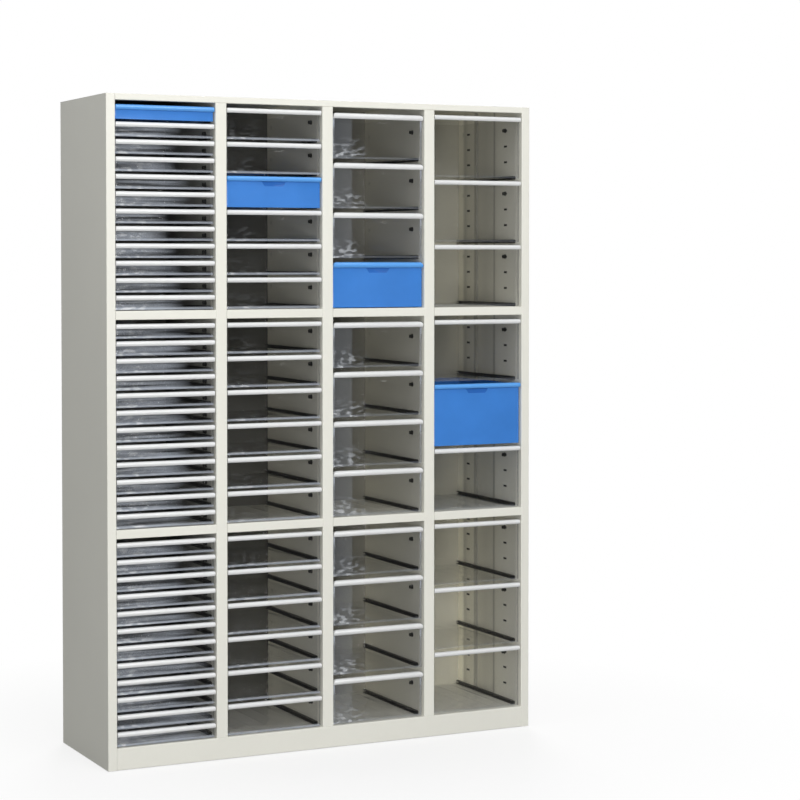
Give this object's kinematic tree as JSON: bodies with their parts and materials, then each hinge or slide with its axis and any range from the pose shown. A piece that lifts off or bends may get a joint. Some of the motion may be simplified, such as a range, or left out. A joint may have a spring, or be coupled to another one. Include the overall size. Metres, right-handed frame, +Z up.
{
  "type": "multi-drawer filing cabinet",
  "caption": "Tall steel document cabinet with side-by-side columns of clear plastic trays that slide out on side rails, thin ones at the left and deeper ones to the right.",
  "frame": {"origin": "on the floor, under the middle of the cabinet's width and depth", "axes": "+X to the right as seen from the front, +Y from the front to the back, +Z up"},
  "size_m": [1.282, 0.394, 1.8],
  "materials": {
    "painted_steel": "cream powder coat with a fine, even texture and a satin sheen",
    "clear_plastic": "clear moulded plastic with a glossy white lip",
    "blue_plastic": "blue-tinted clear moulded plastic with a paler lip",
    "black_plastic": "black extruded and moulded plastic, semi-matt"
  },
  "bodies": {
    "cabinet": {"left_side_panel": "painted_steel", "right_side_panel": "painted_steel", "left_lining": "painted_steel", "slotted_linings": "painted_steel", "column_dividers": "painted_steel", "top_panel": "painted_steel", "tier_decks": "painted_steel", "base_deck": "painted_steel", "back_panel": "painted_steel", "levelling_feet": "black_plastic", "stop_pegs": "black_plastic", "runner_rails_c1": "black_plastic", "runner_rails_c2": "black_plastic", "runner_rails_c3": "black_plastic", "runner_rails_c4": "black_plastic", "thin_drawers_t1": "clear_plastic", "thin_drawers_t2": "clear_plastic", "thin_drawers_t3": "clear_plastic"},
    "drawer_c1_t1_r1": {"drawer_c1_t1_r1": "blue_plastic"},
    "drawer_c1_t2_r1": {"drawer_c1_t2_r1": "clear_plastic"},
    "drawer_c1_t3_r1": {"drawer_c1_t3_r1": "clear_plastic"},
    "drawer_c2_t1_r1": {"drawer_c2_t1_r1": "clear_plastic"},
    "drawer_c2_t1_r2": {"drawer_c2_t1_r2": "clear_plastic"},
    "drawer_c2_t1_r3": {"drawer_c2_t1_r3": "blue_plastic"},
    "drawer_c2_t1_r4": {"drawer_c2_t1_r4": "clear_plastic"},
    "drawer_c2_t1_r5": {"drawer_c2_t1_r5": "clear_plastic"},
    "drawer_c2_t1_r6": {"drawer_c2_t1_r6": "clear_plastic"},
    "drawer_c2_t2_r1": {"drawer_c2_t2_r1": "clear_plastic"},
    "drawer_c2_t2_r2": {"drawer_c2_t2_r2": "clear_plastic"},
    "drawer_c2_t2_r3": {"drawer_c2_t2_r3": "clear_plastic"},
    "drawer_c2_t2_r4": {"drawer_c2_t2_r4": "clear_plastic"},
    "drawer_c2_t2_r5": {"drawer_c2_t2_r5": "clear_plastic"},
    "drawer_c2_t2_r6": {"drawer_c2_t2_r6": "clear_plastic"},
    "drawer_c2_t3_r1": {"drawer_c2_t3_r1": "clear_plastic"},
    "drawer_c2_t3_r2": {"drawer_c2_t3_r2": "clear_plastic"},
    "drawer_c2_t3_r3": {"drawer_c2_t3_r3": "clear_plastic"},
    "drawer_c2_t3_r4": {"drawer_c2_t3_r4": "clear_plastic"},
    "drawer_c2_t3_r5": {"drawer_c2_t3_r5": "clear_plastic"},
    "drawer_c2_t3_r6": {"drawer_c2_t3_r6": "clear_plastic"},
    "drawer_c3_t1_r1": {"drawer_c3_t1_r1": "clear_plastic"},
    "drawer_c3_t1_r2": {"drawer_c3_t1_r2": "clear_plastic"},
    "drawer_c3_t1_r3": {"drawer_c3_t1_r3": "clear_plastic"},
    "drawer_c3_t1_r4": {"drawer_c3_t1_r4": "blue_plastic"},
    "drawer_c3_t2_r1": {"drawer_c3_t2_r1": "clear_plastic"},
    "drawer_c3_t2_r2": {"drawer_c3_t2_r2": "clear_plastic"},
    "drawer_c3_t2_r3": {"drawer_c3_t2_r3": "clear_plastic"},
    "drawer_c3_t2_r4": {"drawer_c3_t2_r4": "clear_plastic"},
    "drawer_c3_t3_r1": {"drawer_c3_t3_r1": "clear_plastic"},
    "drawer_c3_t3_r2": {"drawer_c3_t3_r2": "clear_plastic"},
    "drawer_c3_t3_r3": {"drawer_c3_t3_r3": "clear_plastic"},
    "drawer_c3_t3_r4": {"drawer_c3_t3_r4": "clear_plastic"},
    "drawer_c4_t1_r1": {"drawer_c4_t1_r1": "clear_plastic"},
    "drawer_c4_t1_r2": {"drawer_c4_t1_r2": "clear_plastic"},
    "drawer_c4_t1_r3": {"drawer_c4_t1_r3": "clear_plastic"},
    "drawer_c4_t2_r1": {"drawer_c4_t2_r1": "clear_plastic"},
    "drawer_c4_t2_r2": {"drawer_c4_t2_r2": "blue_plastic"},
    "drawer_c4_t2_r3": {"drawer_c4_t2_r3": "clear_plastic"},
    "drawer_c4_t3_r1": {"drawer_c4_t3_r1": "clear_plastic"},
    "drawer_c4_t3_r2": {"drawer_c4_t3_r2": "clear_plastic"},
    "drawer_c4_t3_r3": {"drawer_c4_t3_r3": "clear_plastic"}
  },
  "joints": [
    {"name": "slide_c1_t1_r1", "type": "slide", "parent": "cabinet", "child": "drawer_c1_t1_r1", "axis": [0, -1, 0], "range_m": [0, 0.265]},
    {"name": "slide_c1_t2_r1", "type": "slide", "parent": "cabinet", "child": "drawer_c1_t2_r1", "axis": [0, -1, 0], "range_m": [0, 0.265]},
    {"name": "slide_c1_t3_r1", "type": "slide", "parent": "cabinet", "child": "drawer_c1_t3_r1", "axis": [0, -1, 0], "range_m": [0, 0.265]},
    {"name": "slide_c2_t1_r1", "type": "slide", "parent": "cabinet", "child": "drawer_c2_t1_r1", "axis": [0, -1, 0], "range_m": [0, 0.265]},
    {"name": "slide_c2_t1_r2", "type": "slide", "parent": "cabinet", "child": "drawer_c2_t1_r2", "axis": [0, -1, 0], "range_m": [0, 0.265]},
    {"name": "slide_c2_t1_r3", "type": "slide", "parent": "cabinet", "child": "drawer_c2_t1_r3", "axis": [0, -1, 0], "range_m": [0, 0.265]},
    {"name": "slide_c2_t1_r4", "type": "slide", "parent": "cabinet", "child": "drawer_c2_t1_r4", "axis": [0, -1, 0], "range_m": [0, 0.265]},
    {"name": "slide_c2_t1_r5", "type": "slide", "parent": "cabinet", "child": "drawer_c2_t1_r5", "axis": [0, -1, 0], "range_m": [0, 0.265]},
    {"name": "slide_c2_t1_r6", "type": "slide", "parent": "cabinet", "child": "drawer_c2_t1_r6", "axis": [0, -1, 0], "range_m": [0, 0.265]},
    {"name": "slide_c2_t2_r1", "type": "slide", "parent": "cabinet", "child": "drawer_c2_t2_r1", "axis": [0, -1, 0], "range_m": [0, 0.265]},
    {"name": "slide_c2_t2_r2", "type": "slide", "parent": "cabinet", "child": "drawer_c2_t2_r2", "axis": [0, -1, 0], "range_m": [0, 0.265]},
    {"name": "slide_c2_t2_r3", "type": "slide", "parent": "cabinet", "child": "drawer_c2_t2_r3", "axis": [0, -1, 0], "range_m": [0, 0.265]},
    {"name": "slide_c2_t2_r4", "type": "slide", "parent": "cabinet", "child": "drawer_c2_t2_r4", "axis": [0, -1, 0], "range_m": [0, 0.265]},
    {"name": "slide_c2_t2_r5", "type": "slide", "parent": "cabinet", "child": "drawer_c2_t2_r5", "axis": [0, -1, 0], "range_m": [0, 0.265]},
    {"name": "slide_c2_t2_r6", "type": "slide", "parent": "cabinet", "child": "drawer_c2_t2_r6", "axis": [0, -1, 0], "range_m": [0, 0.265]},
    {"name": "slide_c2_t3_r1", "type": "slide", "parent": "cabinet", "child": "drawer_c2_t3_r1", "axis": [0, -1, 0], "range_m": [0, 0.265]},
    {"name": "slide_c2_t3_r2", "type": "slide", "parent": "cabinet", "child": "drawer_c2_t3_r2", "axis": [0, -1, 0], "range_m": [0, 0.265]},
    {"name": "slide_c2_t3_r3", "type": "slide", "parent": "cabinet", "child": "drawer_c2_t3_r3", "axis": [0, -1, 0], "range_m": [0, 0.265]},
    {"name": "slide_c2_t3_r4", "type": "slide", "parent": "cabinet", "child": "drawer_c2_t3_r4", "axis": [0, -1, 0], "range_m": [0, 0.265]},
    {"name": "slide_c2_t3_r5", "type": "slide", "parent": "cabinet", "child": "drawer_c2_t3_r5", "axis": [0, -1, 0], "range_m": [0, 0.265]},
    {"name": "slide_c2_t3_r6", "type": "slide", "parent": "cabinet", "child": "drawer_c2_t3_r6", "axis": [0, -1, 0], "range_m": [0, 0.265]},
    {"name": "slide_c3_t1_r1", "type": "slide", "parent": "cabinet", "child": "drawer_c3_t1_r1", "axis": [0, -1, 0], "range_m": [0, 0.265]},
    {"name": "slide_c3_t1_r2", "type": "slide", "parent": "cabinet", "child": "drawer_c3_t1_r2", "axis": [0, -1, 0], "range_m": [0, 0.265]},
    {"name": "slide_c3_t1_r3", "type": "slide", "parent": "cabinet", "child": "drawer_c3_t1_r3", "axis": [0, -1, 0], "range_m": [0, 0.265]},
    {"name": "slide_c3_t1_r4", "type": "slide", "parent": "cabinet", "child": "drawer_c3_t1_r4", "axis": [0, -1, 0], "range_m": [0, 0.265]},
    {"name": "slide_c3_t2_r1", "type": "slide", "parent": "cabinet", "child": "drawer_c3_t2_r1", "axis": [0, -1, 0], "range_m": [0, 0.265]},
    {"name": "slide_c3_t2_r2", "type": "slide", "parent": "cabinet", "child": "drawer_c3_t2_r2", "axis": [0, -1, 0], "range_m": [0, 0.265]},
    {"name": "slide_c3_t2_r3", "type": "slide", "parent": "cabinet", "child": "drawer_c3_t2_r3", "axis": [0, -1, 0], "range_m": [0, 0.265]},
    {"name": "slide_c3_t2_r4", "type": "slide", "parent": "cabinet", "child": "drawer_c3_t2_r4", "axis": [0, -1, 0], "range_m": [0, 0.265]},
    {"name": "slide_c3_t3_r1", "type": "slide", "parent": "cabinet", "child": "drawer_c3_t3_r1", "axis": [0, -1, 0], "range_m": [0, 0.265]},
    {"name": "slide_c3_t3_r2", "type": "slide", "parent": "cabinet", "child": "drawer_c3_t3_r2", "axis": [0, -1, 0], "range_m": [0, 0.265]},
    {"name": "slide_c3_t3_r3", "type": "slide", "parent": "cabinet", "child": "drawer_c3_t3_r3", "axis": [0, -1, 0], "range_m": [0, 0.265]},
    {"name": "slide_c3_t3_r4", "type": "slide", "parent": "cabinet", "child": "drawer_c3_t3_r4", "axis": [0, -1, 0], "range_m": [0, 0.265]},
    {"name": "slide_c4_t1_r1", "type": "slide", "parent": "cabinet", "child": "drawer_c4_t1_r1", "axis": [0, -1, 0], "range_m": [0, 0.243]},
    {"name": "slide_c4_t1_r2", "type": "slide", "parent": "cabinet", "child": "drawer_c4_t1_r2", "axis": [0, -1, 0], "range_m": [0, 0.243]},
    {"name": "slide_c4_t1_r3", "type": "slide", "parent": "cabinet", "child": "drawer_c4_t1_r3", "axis": [0, -1, 0], "range_m": [0, 0.243]},
    {"name": "slide_c4_t2_r1", "type": "slide", "parent": "cabinet", "child": "drawer_c4_t2_r1", "axis": [0, -1, 0], "range_m": [0, 0.243]},
    {"name": "slide_c4_t2_r2", "type": "slide", "parent": "cabinet", "child": "drawer_c4_t2_r2", "axis": [0, -1, 0], "range_m": [0, 0.243]},
    {"name": "slide_c4_t2_r3", "type": "slide", "parent": "cabinet", "child": "drawer_c4_t2_r3", "axis": [0, -1, 0], "range_m": [0, 0.243]},
    {"name": "slide_c4_t3_r1", "type": "slide", "parent": "cabinet", "child": "drawer_c4_t3_r1", "axis": [0, -1, 0], "range_m": [0, 0.243]},
    {"name": "slide_c4_t3_r2", "type": "slide", "parent": "cabinet", "child": "drawer_c4_t3_r2", "axis": [0, -1, 0], "range_m": [0, 0.243]},
    {"name": "slide_c4_t3_r3", "type": "slide", "parent": "cabinet", "child": "drawer_c4_t3_r3", "axis": [0, -1, 0], "range_m": [0, 0.243]}
  ]
}
